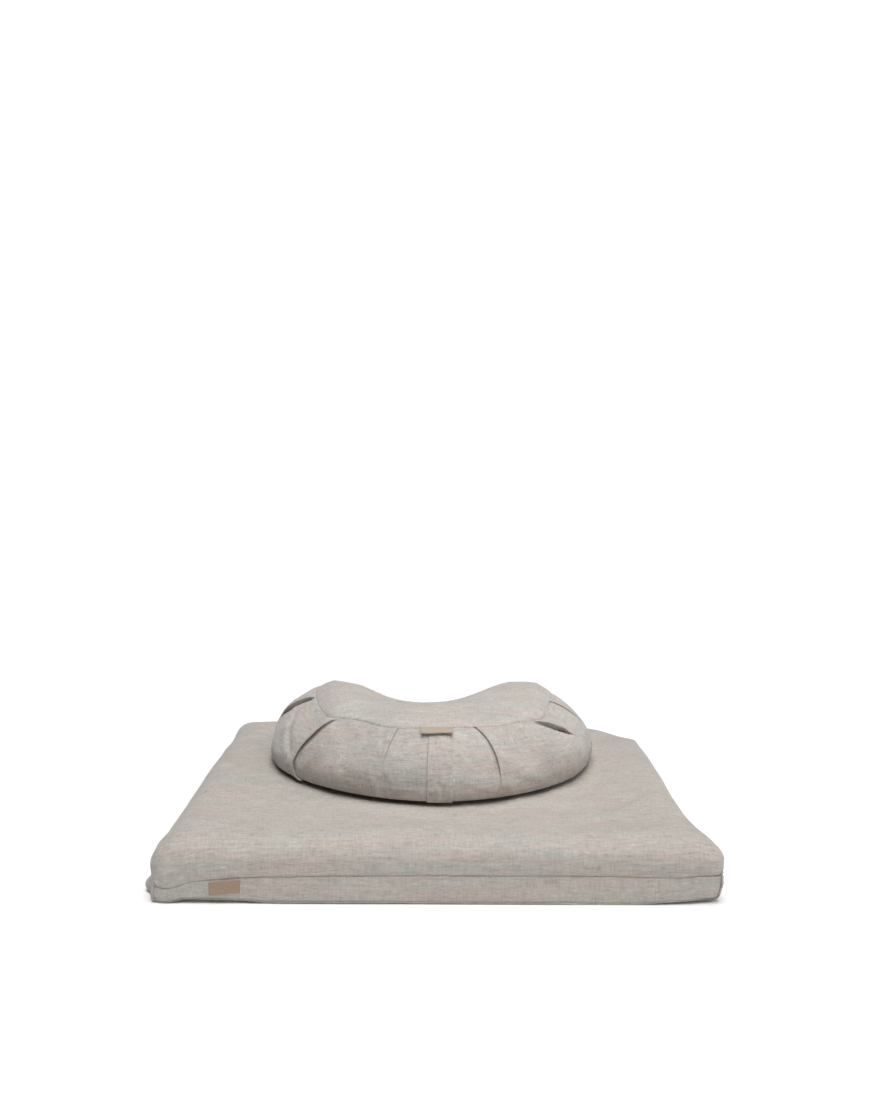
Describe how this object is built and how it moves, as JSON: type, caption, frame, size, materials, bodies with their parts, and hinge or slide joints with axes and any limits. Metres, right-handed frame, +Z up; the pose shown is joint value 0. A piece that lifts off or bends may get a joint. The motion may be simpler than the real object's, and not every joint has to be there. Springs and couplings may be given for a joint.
{
  "type": "meditation floor cushion",
  "caption": "Padded rectangular linen floor mat with a crescent seat cushion of pleated linen resting on it, zipped covers over filled inner cases.",
  "frame": {"origin": "centre of the mat's footprint, on the floor", "axes": "+X along the mat's long side, +Y towards the back, where the crescent opens and the zips are, +Z up"},
  "size_m": [0.76, 0.635, 0.1913],
  "materials": {
    "linen": "natural greige plain-weave linen, slubbed, matt",
    "tan_tape": "tan herringbone cotton tape",
    "tan_label": "tan woven label, blank",
    "cotton": "unbleached cotton muslin",
    "batting": "lofty cotton batting",
    "hulls": "loose dark brown seed hulls",
    "zip_tape": "woven polyester zip tape with moulded teeth",
    "zip_metal": "plated zinc, satin"
  },
  "bodies": {
    "mat": {"mat_top_panel": "linen", "mat_bottom_panel": "linen", "mat_band_front": "linen", "mat_band_right": "linen", "mat_band_left": "linen", "mat_band_back_upper": "linen", "mat_band_back_lower": "linen", "mat_zip_tape_upper": "zip_tape", "mat_zip_tape_lower": "zip_tape", "mat_zip_stop_closed": "zip_metal", "mat_zip_stop_open": "zip_metal", "mat_label": "tan_label", "mat_inner_case": "cotton", "mat_batting_lower": "batting", "mat_batting_middle": "batting", "mat_batting_upper": "batting"},
    "mat_slider": {"mat_zip_slider": "zip_metal"},
    "mat_pull": {"mat_zip_pull": "zip_metal"},
    "seat": {"seat_top_panel": "linen", "seat_bottom_panel": "linen", "seat_wall_front": "linen", "seat_wall_back_upper": "linen", "seat_wall_back_lower": "linen", "seat_zip_tape_upper": "zip_tape", "seat_zip_tape_lower": "zip_tape", "seat_zip_stop_closed": "zip_metal", "seat_zip_stop_open": "zip_metal", "seat_strap": "linen", "seat_inner_case": "cotton", "seat_hull_fill": "hulls"},
    "seat_slider": {"seat_zip_slider": "zip_metal"},
    "seat_pull": {"seat_zip_pull": "zip_metal"},
    "tab": {"seat_tab": "tan_tape"}
  },
  "joints": [
    {"name": "seat_lift", "type": "slide", "parent": "mat", "child": "seat", "axis": [0, 0, 1], "range_m": [0, 0.25]},
    {"name": "mat_zip_slide", "type": "slide", "parent": "mat", "child": "mat_slider", "axis": [1, 0, 0], "range_m": [0, 0.573]},
    {"name": "mat_pull_turn", "type": "hinge", "parent": "mat_slider", "child": "mat_pull", "pos_m": [-0.2865, 0.3157, 0.021], "axis": [1, 0, 0], "range_deg": [-10, 180]},
    {"name": "seat_zip_slide", "type": "hinge", "parent": "seat", "child": "seat_slider", "pos_m": [0, 0.14733, 0.1263], "axis": [0, 0, 1], "range_deg": [0, 91.26]},
    {"name": "seat_pull_turn", "type": "hinge", "parent": "seat_slider", "child": "seat_pull", "pos_m": [-0.07015, 0.07871, 0.1263], "axis": [0.6992, -0.7149, 0], "range_deg": [-10, 180]},
    {"name": "seat_tab_turn", "type": "hinge", "parent": "seat", "child": "tab", "pos_m": [-0.002, -0.1109, 0.1857], "axis": [-1, 0, 0], "range_deg": [0, 75]}
  ]
}
